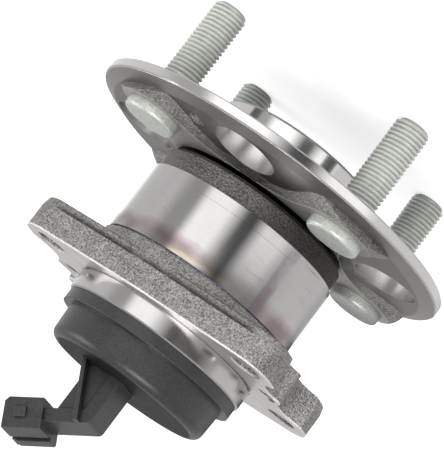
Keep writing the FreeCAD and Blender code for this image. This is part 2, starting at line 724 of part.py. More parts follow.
def make_cap_o_ring():
    """O-ring between the neck of the cap and the bore."""
    ring = doc.addObject("Part::Torus", "cap_o_ring")
    ring.Label = "cap_o_ring"
    ring.setExpression("Radius1", OUTER_BORE + " - dim.o_ring_section - 0.01")
    ring.setExpression("Radius2", "dim.o_ring_section")
    ring.setExpression(".Placement.Base.z", "dim.spigot_length - dim.o_ring_section - 0.05")
    return ring


def make_encoder_carrier():
    """Pressed steel ring on the shoulder of the inner ring, with a flange for the magnet."""
    body = new_body("encoder_carrier")
    section = new_sketch(body, "encoder_carrier_section")
    top = "dim.inner_ring_end + dim.carrier_steel"
    outline(section, [
        (INNER_SHOULDER, top + " - dim.carrier_grip"),
        (INNER_SHOULDER + " + dim.carrier_steel", top + " - dim.carrier_grip"),
        (INNER_SHOULDER + " + dim.carrier_steel", "dim.inner_ring_end"),
        ("dim.encoder_radius", "dim.inner_ring_end"),
        ("dim.encoder_radius", top),
        (INNER_SHOULDER, top)])
    turned(body, "encoder_carrier_turning", section)
    return body


def make_encoder_ring():
    """Flat magnetised rubber ring that the sensor reads."""
    body = new_body("encoder_ring")
    section = new_sketch(body, "encoder_ring_section")
    box_outline(section, "dim.encoder_radius - dim.encoder_width", "dim.encoder_radius",
                "dim.inner_ring_end + dim.carrier_steel", ENCODER_TOP)
    turned(body, "encoder_ring_turning", section)
    return body


# Lead frame: each strip leaves the socket, follows the arm, crosses under the end of the
# cap and drops down the finger to the chip
MIDDLE = "-dim.arm_middle_y"
ARM_FACE = "(dim.arm_half_depth - dim.arm_middle_y)"
HOUSING_FACE = "(dim.housing_half_depth - dim.arm_middle_y)"
ARM_MIDDLE = "(dim.arm_high_side - dim.arm_thickness / 2)"
UPRIGHT_X = "(dim.arm_left_x + dim.arm_thickness / 2)"
BEND_Z = "((%s + %s * sin(dim.plug_tilt)) / cos(dim.plug_tilt))" % (ARM_MIDDLE, UPRIGHT_X)
BEND_ALONG = "(%s * cos(dim.plug_tilt) + %s * sin(dim.plug_tilt))" % (UPRIGHT_X, BEND_Z)
BED_Z = "(%s - dim.lead_bed / 2)" % CAP_CEILING
CHIP_X = "(dim.finger_inner_x + dim.cap_wall)"
CHIP_TOP = "(%s + dim.chip_height)" % FINGER_TIP
HOUSING_END = "(dim.housing_start + dim.housing_length)"


def lead_strip(body, sign, kind):
    """The four straight runs of one lead, as solid metal or as the slot that it lies in."""
    half = "dim.pin_thickness / 2"
    side = "%s %s dim.pin_half_spacing - dim.pin_width / 2" % (MIDDLE, sign)
    runs = [
        ("plug_run", "dim.plug_tilt", BEND_ALONG, HOUSING_END + " - dim.pin_set_back",
         "%s - %s" % (ARM_MIDDLE, half), "%s + %s" % (ARM_MIDDLE, half)),
        ("arm_run", "0", "%s - %s" % (UPRIGHT_X, half), "%s + %s" % (UPRIGHT_X, half),
         "%s - %s" % (BED_Z, half), BEND_Z + " + " + half),
        ("bed_run", "0", "%s - %s" % (UPRIGHT_X, half), "%s + %s" % (CHIP_X, half),
         "%s - %s" % (BED_Z, half), "%s + %s" % (BED_Z, half)),
        ("chip_run", "0", "%s - %s" % (CHIP_X, half), "%s + %s" % (CHIP_X, half),
         CHIP_TOP, "%s + %s" % (BED_Z, half))]
    for name, turn, left, right, low, high in runs:
        title = "%s_%s_%s" % (body.Label, name, "near" if sign == "+" else "far")
        sketch = new_sketch(body, title + "_outline", turn=turn, lift=side)
        box_outline(sketch, left, right, low, high)
        cut = kind == "PartDesign::Pocket"
        extruded(body, title, sketch, "dim.pin_width", kind, back=cut)


def make_terminal_pin(number_of_pin, sign):
    """One lead of the sensor, whose free end is the blade in the socket."""
    body = new_body("terminal_pin_%d" % number_of_pin)
    lead_strip(body, sign, "PartDesign::Pad")
    return body


def make_sensor_chip():
    """Sensor body at the tip of the finger, facing the encoder."""
    body = new_body("sensor_chip")
    sketch = new_sketch(body, "sensor_chip_outline", lift=MIDDLE)
    box_outline(sketch, CHIP_X + " - dim.chip_width / 2", CHIP_X + " + dim.chip_width / 2",
                FINGER_TIP, CHIP_TOP)
    extruded(body, "sensor_chip_block", sketch, "2 * dim.chip_half_length", both=True)
    return body


def make_sensor_cap():
    """Moulded cap with its plug socket on a bent arm, a gusset and a rib."""
    body = new_body("sensor_cap")
    shell = new_sketch(body, "cap_section")
    step = "dim.spigot_length + dim.cap_ring_height"
    plug_low = "dim.spigot_length - dim.plug_depth"
    groove_low = "dim.spigot_length - 2 * dim.o_ring_section - 0.1"
    inside = CAP_CROWN + " - dim.cap_wall"
    outline(shell, [
        (inside, plug_low),
        (PLUG_RADIUS, plug_low),
        (PLUG_RADIUS, groove_low),
        (PLUG_RADIUS + " - dim.o_ring_groove_depth", groove_low),
        (PLUG_RADIUS + " - dim.o_ring_groove_depth", "dim.spigot_length"),
        (CAP_RING, "dim.spigot_length"),
        (CAP_RING, step),
        (CAP_BODY, step),
        (CAP_CROWN, CAP_TOP),
        ("0", CAP_TOP),
        ("0", CAP_CEILING),
        (inside, CAP_CEILING)])
    cup = turned(body, "cap_turning", shell)
    rim = number(CAP_TOP)
    finished(body, "PartDesign::Fillet", "cap_edge", cup,
             lambda edge: lies_at(edge, rim) and edge.Length > 1, "dim.cap_edge_round")

    # Upright part of the arm, then the part that rises to the plug
    upright = new_sketch(body, "arm_upright_outline", lift=MIDDLE)
    corner_z = "((dim.arm_high_side + dim.arm_left_x * sin(dim.plug_tilt)) / cos(dim.plug_tilt))"
    box_outline(upright, "dim.arm_left_x", "dim.arm_left_x + dim.arm_thickness",
                CAP_TOP + " - dim.cap_wall / 2", corner_z)
    extruded(body, "arm_upright", upright, "2 * dim.arm_half_depth", both=True)
    corner_along = "(dim.arm_left_x * cos(dim.plug_tilt) + %s * sin(dim.plug_tilt))" % corner_z
    rise = new_sketch(body, "arm_rise_outline", turn="dim.plug_tilt", lift=MIDDLE)
    box_outline(rise, corner_along, "dim.housing_start + 0.5",
                "dim.arm_high_side - dim.arm_thickness", "dim.arm_high_side")
    arm = extruded(body, "arm_rise", rise, "2 * dim.arm_half_depth", both=True)
    bend_x, bend_z = number("dim.arm_left_x"), number(corner_z)
    finished(body, "PartDesign::Fillet", "arm_bend", arm,
             lambda edge: all(abs(end.Point.x - bend_x) + abs(end.Point.z - bend_z) < 1e-3
                              for end in edge.Vertexes), "dim.arm_bend_round")

    # Gusset between arm and cap, a little behind the face of the arm
    low_side = "(dim.arm_high_side - dim.arm_thickness / 2)"
    under_arm = "(%s + %%s * sin(dim.plug_tilt)) / cos(dim.plug_tilt)" % low_side
    gusset = new_sketch(body, "gusset_outline", lift=ARM_FACE + " - dim.gusset_set_back")
    outline(gusset, [
        (UPRIGHT_X, CAP_TOP + " - dim.cap_wall / 2"),
        ("dim.gusset_right_x", CAP_TOP + " - dim.cap_wall / 2"),
        ("dim.gusset_right_x", under_arm % "dim.gusset_right_x"),
        (UPRIGHT_X, under_arm % UPRIGHT_X)])
    extruded(body, "gusset", gusset, "dim.gusset_thickness", back=True)

    # Rib across the gusset, square to the arm
    rib = new_sketch(body, "rib_outline", turn="dim.plug_tilt",
                     lift=ARM_FACE + " + dim.rib_stand_out")
    rib_foot = "(%s - dim.cap_wall / 2 - dim.rib_place * sin(dim.plug_tilt)) / cos(dim.plug_tilt)"
    box_outline(rib, "dim.rib_place", "dim.rib_place + dim.rib_thickness", rib_foot % CAP_TOP,
                "dim.arm_high_side")
    extruded(body, "rib", rib, "dim.rib_stand_out + dim.gusset_set_back + dim.gusset_thickness / 2",
             back=True)

    # Plug housing with its socket, latch nub, key groove and key rail
    high = "(dim.housing_low_side + dim.housing_height)"
    housing = new_sketch(body, "housing_outline", turn="dim.plug_tilt", lift=MIDDLE)
    outline(housing, [
        ("dim.housing_start", "dim.housing_low_side"),
        (HOUSING_END + " - dim.housing_bevel", "dim.housing_low_side"),
        (HOUSING_END, "dim.housing_low_side + dim.housing_bevel"),
        (HOUSING_END, high),
        ("dim.housing_start", high)])
    extruded(body, "housing", housing, "2 * dim.housing_half_depth", both=True)
    rail = new_sketch(body, "key_rail_outline", turn="dim.plug_tilt",
                      lift="-(dim.key_groove_place + dim.key_groove_width)")
    box_outline(rail, "dim.housing_start", HOUSING_END + " - dim.housing_bevel",
                high + " - dim.housing_wall / 2", high + " + dim.key_rail_height")
    extruded(body, "key_rail", rail, "dim.key_rail_width", back=True)
    groove = new_sketch(body, "key_groove_outline", turn="dim.plug_tilt",
                        lift="-dim.key_groove_place")
    box_outline(groove, "dim.housing_start - 1", HOUSING_END + " + 1",
                high + " - dim.key_groove_depth", high + " + 1")
    extruded(body, "key_groove", groove, "dim.key_groove_width", "PartDesign::Pocket")
    nub = new_sketch(body, "latch_outline", turn="dim.plug_tilt",
                     lift=HOUSING_FACE + " + dim.latch_stand_out")
    box_outline(nub, "dim.latch_place", "dim.latch_place + dim.latch_length",
                "dim.housing_low_side + dim.housing_height / 2 - dim.latch_height / 2",
                "dim.housing_low_side + dim.housing_height / 2 + dim.latch_height / 2")
    extruded(body, "latch", nub, "dim.latch_stand_out + dim.housing_wall / 2", back=True)

    # Bed and finger that hold the leads and the chip inside the cap
    bed = new_sketch(body, "lead_bed_outline", lift=MIDDLE)
    box_outline(bed, "dim.arm_left_x", CHIP_X + " + dim.cap_wall",
                CAP_CEILING + " - dim.lead_bed", CAP_TOP + " - dim.cap_wall / 2")
    extruded(body, "lead_bed_block", bed, "2 * dim.finger_half_width", both=True)
    finger = new_sketch(body, "finger_outline", lift=MIDDLE)
    box_outline(finger, "dim.finger_inner_x", inside + " + dim.cap_wall / 2", FINGER_TIP,
                CAP_TOP + " - dim.cap_wall / 2")
    extruded(body, "finger", finger, "2 * dim.finger_half_width", both=True)

    socket = new_sketch(body, "socket_outline", turn="dim.plug_tilt", lift=MIDDLE)
    box_outline(socket, HOUSING_END + " - dim.socket_depth", HOUSING_END + " + 1",
                "dim.housing_low_side + dim.housing_wall", high + " - dim.housing_wall")
    extruded(body, "socket", socket, "2 * (dim.housing_half_depth - dim.housing_wall)",
             "PartDesign::Pocket", both=True)
    chip_seat = new_sketch(body, "chip_seat_outline", lift=MIDDLE)
    box_outline(chip_seat, CHIP_X + " - dim.chip_width / 2", CHIP_X + " + dim.chip_width / 2",
                FINGER_TIP + " - 1", CHIP_TOP)
    extruded(body, "chip_seat", chip_seat, "2 * dim.chip_half_length", "PartDesign::Pocket",
             both=True)
    for sign in ("+", "-"):
        lead_strip(body, sign, "PartDesign::Pocket")
    return body


def make_cage(label, row, toward_end):
    """Snap-in cage: a plastic crown whose pockets are open on the side away from its back."""
    body = new_body(label)
    ring = new_sketch(body, label + "_section")
    inner = "dim.pitch_radius - dim.cage_wall / 2"
    outer = "dim.pitch_radius + dim.cage_wall / 2"
    back = "%s %s dim.cage_back" % (row, toward_end)
    front = "%s %s dim.cage_front" % (row, "-" if toward_end == "+" else "+")
    box_outline(ring, inner, outer, back, front)
    turned(body, label + "_turning", ring)
    window = new_sketch(body, label + "_pocket_circle", "YZ_Plane")
    circle(window, "0", row, "dim.ball_radius + dim.pocket_clearance")
    pocket = extruded(body, label + "_pocket", window, "dim.pitch_radius + dim.cage_wall",
                      "PartDesign::Pocket", back=True)
    around(body, label + "_pockets", pocket, "dim.ball_count")
    return body


def make_ball(label, row, index):
    ball = doc.addObject("Part::Sphere", label)
    ball.Label = label
    angle = "(%d * 360 / dim.ball_count)" % index
    ball.setExpression("Radius", "dim.ball_radius")
    ball.setExpression(".Placement.Base.x", "dim.pitch_radius * cos(%s)" % angle)
    ball.setExpression(".Placement.Base.y", "dim.pitch_radius * sin(%s)" % angle)
    ball.setExpression(".Placement.Base.z", row)
    return ball


parts = [make_outer_ring(), make_seal_case(), make_seal_lip(), make_cap_sleeve(),
         make_cap_o_ring(), make_sensor_cap(), make_sensor_chip(),
         make_terminal_pin(1, "+"), make_terminal_pin(2, "-"),
         make_hub_flange(), make_inner_ring(), make_spindle_nut(),
         make_encoder_carrier(), make_encoder_ring()]
for stud in range(int(number("dim.stud_count"))):
    parts.append(make_wheel_stud(stud))
for row_name, row, toward_end in (("outboard", OUTBOARD_ROW, "-"), ("inboard", INBOARD_ROW, "+")):
    parts.append(make_cage(row_name + "_cage", row, toward_end))
    for ball in range(int(number("dim.ball_count"))):
        parts.append(make_ball("%s_ball_%02d" % (row_name, ball + 1), row, ball))

doc.recompute()
for item in doc.Objects:
    if "Invalid" in item.State or "Error" in item.State:
        raise RuntimeError("%s failed: %s" % (item.Name, item.State))
for part in parts:
    if part.Shape.isNull() or not part.Shape.isValid():
        raise RuntimeError("%s has no sound shape" % part.Label)

os.makedirs("parts", exist_ok=True)
for part in parts:
    part.Shape.exportStep("parts/%s.step" % part.Label)
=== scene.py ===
import bmesh
import bpy
import math
from mathutils import Euler, Matrix, Vector


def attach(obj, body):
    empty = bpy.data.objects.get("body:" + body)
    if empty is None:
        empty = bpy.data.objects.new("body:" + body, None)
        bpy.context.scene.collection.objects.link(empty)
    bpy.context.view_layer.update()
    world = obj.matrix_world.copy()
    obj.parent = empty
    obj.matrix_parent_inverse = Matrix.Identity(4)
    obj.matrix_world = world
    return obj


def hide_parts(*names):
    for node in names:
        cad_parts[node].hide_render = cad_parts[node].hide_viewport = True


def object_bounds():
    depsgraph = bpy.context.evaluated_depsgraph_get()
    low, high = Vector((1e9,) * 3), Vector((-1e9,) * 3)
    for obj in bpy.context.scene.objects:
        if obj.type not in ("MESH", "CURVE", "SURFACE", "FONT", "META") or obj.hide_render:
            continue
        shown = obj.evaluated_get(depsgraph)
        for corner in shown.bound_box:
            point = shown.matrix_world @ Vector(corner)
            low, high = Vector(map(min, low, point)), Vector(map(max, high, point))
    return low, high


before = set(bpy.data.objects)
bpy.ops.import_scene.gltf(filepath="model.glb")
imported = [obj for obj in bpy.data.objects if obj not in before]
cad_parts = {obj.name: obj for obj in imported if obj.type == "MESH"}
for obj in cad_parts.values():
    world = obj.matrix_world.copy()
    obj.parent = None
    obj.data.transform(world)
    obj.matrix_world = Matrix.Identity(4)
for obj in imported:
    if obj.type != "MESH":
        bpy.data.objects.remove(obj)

cad_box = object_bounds()

# The hub unit is looked at from a little above its mounting plate, with the plug towards the
# lower left. The unit leans in the picture because the camera is rolled, not the unit.
camera_place = (-0.39787, -0.82195, 0.13297)
camera_turn = (-76.769, 36.352, 161.715)
lens = bpy.data.cameras.new("studio_camera")
lens.sensor_fit = "AUTO"
lens.sensor_width = 36
lens.lens = 231.98
lens.clip_start = 0.05
lens.clip_end = 50
studio_camera = bpy.data.objects.new("studio_camera", lens)
turned_by = Euler([math.radians(angle) for angle in camera_turn])
studio_camera.matrix_world = Matrix.LocRotScale(Vector(camera_place), turned_by, None)
bpy.context.scene.collection.objects.link(studio_camera)
bpy.context.scene.camera = studio_camera
bpy.context.scene.view_settings.view_transform = "Standard"


# The studio: a white floor just under the studs' tips and a white room. The steel mirrors its
# surroundings, so cards from black to white lie on the floor, which only gloss can see.
def step(finish, kind, inputs=None, **settings):
    """One node of a finish, with its settings, and its inputs wired up or given a value."""
    made = finish.node_tree.nodes.new("ShaderNode" + kind)
    for setting, value in settings.items():
        setattr(made, setting, value)
    for name, value in (inputs or {}).items():
        if isinstance(value, bpy.types.NodeSocket):
            finish.node_tree.links.new(value, made.inputs[name])
        else:
            made.inputs[name].default_value = value
    return made.outputs[0]


def sum_up(finish, operation, first, second=0.0, third=0.0):
    return step(finish, "Math", {0: first, 1: second, 2: third}, operation=operation)


def times(finish, first, second):
    return sum_up(finish, "MULTIPLY", first, second)


def times_plus(finish, value, factor, more):
    """The value times the factor, plus something more."""
    return sum_up(finish, "MULTIPLY_ADD", value, factor, more)


room_light = 0.65
room = bpy.data.worlds.new("white_room")
room.use_nodes = True
bpy.context.scene.world = room
path = room.node_tree.nodes.new("ShaderNodeLightPath")
seen = times_plus(room, path.outputs["Is Camera Ray"], 1 - room_light, room_light)
backdrop = room.node_tree.nodes["Background"]
backdrop.inputs["Color"].default_value = (1, 1, 1, 1)
room.node_tree.links.new(seen, backdrop.inputs["Strength"])

floor_gap = 0.0002
floor_level = cad_box[0][2] - floor_gap
bm = bmesh.new()
bmesh.ops.create_circle(bm, cap_ends=True, segments=64, radius=6)
bmesh.ops.translate(bm, verts=bm.verts, vec=(0, 0, floor_level))
floor_mesh = bpy.data.meshes.new("floor")
bm.to_mesh(floor_mesh)
bm.free()
floor = bpy.data.objects.new("floor", floor_mesh)
bpy.context.scene.collection.objects.link(floor)
white_floor = bpy.data.materials.new("white_floor")
white_floor.use_nodes = True
paint = white_floor.node_tree.nodes["Principled BSDF"]
paint.inputs["Base Color"].default_value = (0.80, 0.80, 0.80, 1)
paint.inputs["Roughness"].default_value = 0.9
paint.inputs["Specular IOR Level"].default_value = 0
paint.inputs["Emission Color"].default_value = (1, 1, 1, 1)
path = white_floor.node_tree.nodes.new("ShaderNodeLightPath")
glow = times(white_floor, path.outputs["Is Camera Ray"], 0.62)
white_floor.node_tree.links.new(glow, paint.inputs["Emission Strength"])
floor_mesh.materials.append(white_floor)

# Cards in five plain tones lie on the floor in two rings, one inside the other. Each card covers
# the directions round the unit from one angle to the other, in degrees, and fades into the next.
BLACK, DARK, GREY, LIGHT, WHITE = 0.06, 0.3, 0.48, 0.8, 1.0
NEAR_CARDS = ((-180, -165, GREY), (-155, -135, LIGHT), (-122, -112, BLACK), (-95, -70, WHITE),
              (-60, -45, DARK), (-30, 25, GREY), (45, 70, LIGHT), (85, 100, DARK),
              (125, 180, GREY))
FAR_CARDS = ((-180, -178, DARK), (-160, -120, BLACK), (-95, -70, WHITE), (-60, -45, DARK),
             (-30, 60, GREY), (75, 90, BLACK), (120, 170, GREY), (178, 180, DARK))
card_lift = 0.0005
card_strength = 2.0
for name, near, far, cards in (("near_card", 0.10, 0.42, NEAR_CARDS),
                               ("far_card", 0.421, 1.6, FAR_CARDS)):
    bm = bmesh.new()
    ends = [bm.verts.new((reach, 0, floor_level + card_lift)) for reach in (near, far)]
    side = bm.edges.new(ends)
    bmesh.ops.spin(bm, geom=ends + [side], axis=(0, 0, 1), angle=2 * math.pi, steps=64,
                   use_merge=True)
    card_mesh = bpy.data.meshes.new(name)
    bm.to_mesh(card_mesh)
    bm.free()
    card = bpy.data.objects.new(name, card_mesh)
    bpy.context.scene.collection.objects.link(card)
    card_face = bpy.data.materials.new(name)
    card_face.use_nodes = True
    card_face.node_tree.nodes.clear()
    spot = card_face.node_tree.nodes.new("ShaderNodeTexCoord").outputs["Object"]
    split = card_face.node_tree.nodes.new("ShaderNodeSeparateXYZ")
    card_face.node_tree.links.new(spot, split.inputs[0])
    turn = sum_up(card_face, "ARCTAN2", split.outputs[1], split.outputs[0])
    share = times_plus(card_face, turn, 1 / (2 * math.pi), 0.5)
    shades = step(card_face, "ValToRGB", {"Fac": share})
    stops = shades.node.color_ramp.elements
    stops[0].color = 3 * [cards[0][2]] + [1]
    stops[1].color = 3 * [cards[-1][2]] + [1]
    for first, last, tone in cards:
        for direction in (first, last):
            if abs(direction) < 180:
                stops.new(direction / 360 + 0.5).color = 3 * [tone] + [1]
    shine = step(card_face, "Emission", {"Color": shades, "Strength": card_strength})
    end = card_face.node_tree.nodes.new("ShaderNodeOutputMaterial")
    card_face.node_tree.links.new(shine, end.inputs["Surface"])
    card_mesh.materials.append(card_face)
    card.visible_camera = False
    card.visible_diffuse = False
    card.visible_shadow = False

for name, place, width, power in (("key_lamp", (-0.8, -1.2, 0.9), 0.9, 18),
                                  ("side_lamp", (1.2, -0.5, 0.7), 0.8, 7)):
    lamp_data = bpy.data.lights.new(name, "AREA")
    lamp_data.shape = "SQUARE"
    lamp_data.size = width
    lamp_data.energy = power
    lamp = bpy.data.objects.new(name, lamp_data)
    lamp.location = place
    lamp.rotation_euler = (-Vector(place)).to_track_quat("-Z", "Y").to_euler()
    bpy.context.scene.collection.objects.link(lamp)


# The outer ring is one forging of bearing steel. Its skin is shot-blasted and stays rough on
# the plate and the collar; the barrel is ground, the spigot and the plate's face are turned.
# Heights, radii and widths are in millimetres, and heights count from the plate's face.
parting_line = -8.4
barrel_top = -16.1
score_line = -36.67
barrel_foot = -40.75
ring_end = -48.15
barrel_radius = 34.86
spigot_radius = 33.0
# Near black for painted shade in the seal gap, on the ring's end face and the hub's boss face.
painted_shade_black = (0.02, 0.02, 0.02, 1)


def new_finish(name, metal):
    finish = bpy.data.materials.new(name)
    finish.use_nodes = True
    shader = finish.node_tree.nodes["Principled BSDF"]
    shader.inputs["Metallic"].default_value = metal
    return finish


def wire(finish, socket, value):
    """Brings a value or the end of a chain of nodes to a socket of the finish's shader."""
    target = finish.node_tree.nodes["Principled BSDF"].inputs[socket]
    if isinstance(value, bpy.types.NodeSocket):
        finish.node_tree.links.new(value, target)
    else:
        target.default_value = value


def dress(finish, *names):
    """Puts the finish on pieces of the frame."""
    for name in names:
        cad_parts[name].material_slots[0].material = finish


def place_in(finish):
    """Place of a point on the piece: x, y, z in millimetres and the distance from the axis."""
    raw = finish.node_tree.nodes.new("ShaderNodeTexCoord").outputs["Object"]
    place = step(finish, "VectorMath", {0: raw, "Scale": 1000}, operation="SCALE")
    split = finish.node_tree.nodes.new("ShaderNodeSeparateXYZ")
    finish.node_tree.links.new(place, split.inputs[0])
    x, y, z = split.outputs
    from_axis = sum_up(finish, "SQRT", times_plus(finish, x, x, times(finish, y, y)))
    return place, x, y, z, from_axis


def facing(finish):
    """How far a face points along the spin axis, from -1 to 1."""
    turned = finish.node_tree.nodes.new("ShaderNodeTexCoord").outputs["Normal"]
    split = finish.node_tree.nodes.new("ShaderNodeSeparateXYZ")
    finish.node_tree.links.new(turned, split.inputs[0])
    return split.outputs[2]


def toward(finish, x, y, direction):
    """1 on the barrel where it faces a direction in degrees, falling to -1 behind."""
    turn = math.radians(direction)
    return times_plus(finish, x, math.cos(turn) / barrel_radius,
                      times(finish, y, math.sin(turn) / barrel_radius))


def ramp(finish, value, start, stop):
    """0 on the near side of start, 1 beyond stop, and a soft rise between them."""
    return step(finish, "MapRange", {"Value": value, "From Min": start, "From Max": stop},
                interpolation_type="SMOOTHSTEP")


def band(finish, value, low, high, soft):
    """1 where the value lies between low and high, 0 elsewhere."""
    rise = ramp(finish, value, low - soft, low + soft)
    fall = ramp(finish, value, high + soft, high - soft)
    return times(finish, rise, fall)


def between(finish, pattern, low, high):
    """Spreads a 0 to 1 pattern evenly from low to high."""
    return step(finish, "MapRange", {"Value": pattern, "To Min": low, "To Max": high})


def noise(finish, place, size, detail=2.0, rough=0.5, stretch=(1, 1, 1)):
    """Cloudy pattern from 0 to 1 whose blotches are about this many millimetres wide."""
    shrunk = step(finish, "Mapping", {"Vector": place, "Scale": stretch})
    return step(finish, "TexNoise", {"Vector": shrunk, "Scale": 1 / size, "Detail": detail,
                                     "Roughness": rough}, normalize=True)


def mix(finish, share, first, second):
    return step(finish, "MixRGB", {"Fac": share, "Color1": first, "Color2": second})


def tinge(finish, base, zone, strength, tone):
    """Lays a tone over the base where the zone is 1, as strongly as asked."""
    return mix(finish, times(finish, zone, strength), base, (*tone, 1))


def grey(finish, pattern, low, high, tint=(1, 1, 1)):
    """Turns a 0 to 1 pattern into a colour between two tones of grey, with a slight tint."""
    tone = between(finish, pattern, low, high)
    return step(finish, "CombineColor", {0: times(finish, tone, tint[0]),
                                         1: times(finish, tone, tint[1]),
                                         2: times(finish, tone, tint[2])})


def relief(finish, height, depth, under=None):
    """A bump of this many millimetres."""
    inputs = {"Height": height, "Distance": depth / 1000, "Strength": 1.0}
    if under is not None:
        inputs["Normal"] = under
    return step(finish, "Bump", inputs)


def forged_skin(finish, place):
    """Colour and grain of a shot-blasted forging: warm grey, mottled, with bright flecks of
    painted glint.
    """
    grain = noise(finish, place, 0.6, 3, 0.6)
    cloud = noise(finish, place, 5.0, 3, 0.6)
    tone = times_plus(finish, ramp(finish, grain, 0.30, 0.68), 0.80,
                      times(finish, ramp(finish, cloud, 0.3, 0.7), 0.20))
    skin = grey(finish, tone, 0.10, 0.45, (1, 0.975, 0.94))
    # Painted glints: small bright flecks scattered over the skin.
    painted_glint = ramp(finish, noise(finish, place, 0.45, 1), 0.62, 0.74)
    return tinge(finish, skin, painted_glint, 0.4, (0.8, 0.79, 0.76)), grain


# The ring's forged skin: painted shade in the crease under the parting line, a painted highlight
# along the edge round the turned face, and painted shade on the collar, darkest on the far side
# from the plug.
ring_steel = new_finish("forged_and_ground_steel", 1.0)
place, x, y, z, from_axis = place_in(ring_steel)
up = facing(ring_steel)
forged, grain = forged_skin(ring_steel, place)
# Painted shade: a dark line in the crease just under the parting line.
painted_crease_shade = times(ring_steel, ramp(ring_steel, z, parting_line + 0.15, parting_line - 0.2),
               ramp(ring_steel, z, parting_line - 2.4, parting_line - 0.3))
painted_crease_shade = times(ring_steel, painted_crease_shade, ramp(ring_steel, noise(ring_steel, place, 9.0, 2), 0.10, 0.50))
painted_crease_shade = times(ring_steel, painted_crease_shade,
               ramp(ring_steel, sum_up(ring_steel, "ABSOLUTE", x), 42.0, 37.0))
forged = tinge(ring_steel, forged, painted_crease_shade, 0.85, (0.04, 0.037, 0.035))
# Painted highlight: a thin bright line along the edge of the turned face.
edge = times(ring_steel, ramp(ring_steel, z, -0.75, -0.45),
             ramp(ring_steel, from_axis, spigot_radius + 1.0, spigot_radius + 1.5))
forged = tinge(ring_steel, forged, edge, 0.8, (0.95, 0.93, 0.91))
# Painted shade on the collar under the flange, deepest on the far side from the plug.
painted_collar_shade = times_plus(ring_steel, ramp(ring_steel, x, 2.0, -30.0), 0.50, 0.38)
painted_collar_shade = times(ring_steel, painted_collar_shade, ramp(ring_steel, z, barrel_foot + 0.45, barrel_foot - 0.25))
forged = mix(ring_steel, painted_collar_shade, forged, (0.03, 0.027, 0.025, 1))

# The ground barrel: fine scratches, heat tint that rises from the plate and is deepest at the
# front, a narrow dark pinkish streak at the side and a scored line near the collar.
scratch = noise(ring_steel, place, 0.30, 2, 0.5, (0.06, 0.06, 1.0))
clouds = noise(ring_steel, place, 9.0, 2, 0.5, (1, 1, 0.35))
polish = times_plus(ring_steel, scratch, 0.35, times(ring_steel, clouds, 0.65))
ground = grey(ring_steel, polish, 0.36, 0.50, (1, 0.985, 0.975))
score = noise(ring_steel, place, 0.22, 1, 0.5, (0.012, 0.012, 1))
score = times(ring_steel, ramp(ring_steel, score, 0.70, 0.76),
              ramp(ring_steel, noise(ring_steel, place, 11.0, 1), 0.50, 0.62))
ground = tinge(ring_steel, ground, score, 0.7, (0.12, 0.10, 0.10))
FAINT_HEAT = ((0.0, (1, 1, 1, 1)), (0.25, (0.82, 0.72, 0.74, 1)),
              (0.55, (0.55, 0.43, 0.44, 1)), (1.0, (0.46, 0.38, 0.37, 1)))
DEEP_HEAT = ((0.0, (1, 1, 1, 1)), (0.20, (0.80, 0.68, 0.72, 1)),
             (0.45, (0.42, 0.32, 0.32, 1)), (0.68, (0.36, 0.27, 0.20, 1)),
             (0.84, (0.95, 0.72, 0.36, 1)), (1.0, (0.45, 0.55, 0.90, 1)))
wavy_z = times_plus(ring_steel, noise(ring_steel, place, 7.0, 2), 3.0, z)
rise = step(ring_steel, "MapRange", {"Value": wavy_z, "From Min": barrel_top - 5.4,
                                     "From Max": barrel_top + 1.5})
tints = []
for colours in (FAINT_HEAT, DEEP_HEAT):
    tint = step(ring_steel, "ValToRGB", {"Fac": rise})
    stops = tint.node.color_ramp.elements
    stops[0].color = colours[0][1]
    stops[1].color = colours[-1][1]
    for at, colour in colours[1:-1]:
        stops.new(at).color = colour
    tints.append(tint)
toward_front = toward(ring_steel, x, y, -115)
tint = mix(ring_steel, ramp(ring_steel, toward_front, 0.86, 0.95), *tints)
patchy = ramp(ring_steel, noise(ring_steel, place, 16.0, 1), 0.38, 0.62)
heat = times_plus(ring_steel, patchy, 0.65, 0.30)
ground = step(ring_steel, "MixRGB", {"Fac": heat, "Color1": ground, "Color2": tint},
              blend_type="MULTIPLY")
streak = times(ring_steel, ramp(ring_steel, toward(ring_steel, x, y, -146), 0.9966, 0.9995),
               ramp(ring_steel, noise(ring_steel, place, 8.0, 2), 0.2, 0.6))
ground = tinge(ring_steel, ground, streak, 0.75, (0.22, 0.175, 0.205))
line = times(ring_steel, band(ring_steel, z, score_line - 0.05, score_line + 0.05, 0.05),
             ramp(ring_steel, toward_front, 0.80, 0.90))
ground = tinge(ring_steel, ground, line, 0.7, (0.10, 0.09, 0.09))

# Where the ring is ground, turned, faced or bored, and how each of these shines; its end face by
# the seal gap is painted near black as shade. Everything else on it keeps the forged skin.
ground_zone = times(ring_steel, band(ring_steel, z, barrel_foot, barrel_top, 0.08),
                    ramp(ring_steel, from_axis, barrel_radius + 0.44, barrel_radius + 0.24))
spigot_zone = times(ring_steel, ramp(ring_steel, z, 0.02, 0.08),
                    ramp(ring_steel, from_axis, spigot_radius + 0.6, spigot_radius + 0.3))
face_zone = times(ring_steel, ramp(ring_steel, z, -0.9, -0.6), ramp(ring_steel, up, 0.4, 0.6))
inside_zone = ramp(ring_steel, from_axis, spigot_radius - 1.0, spigot_radius - 1.2)
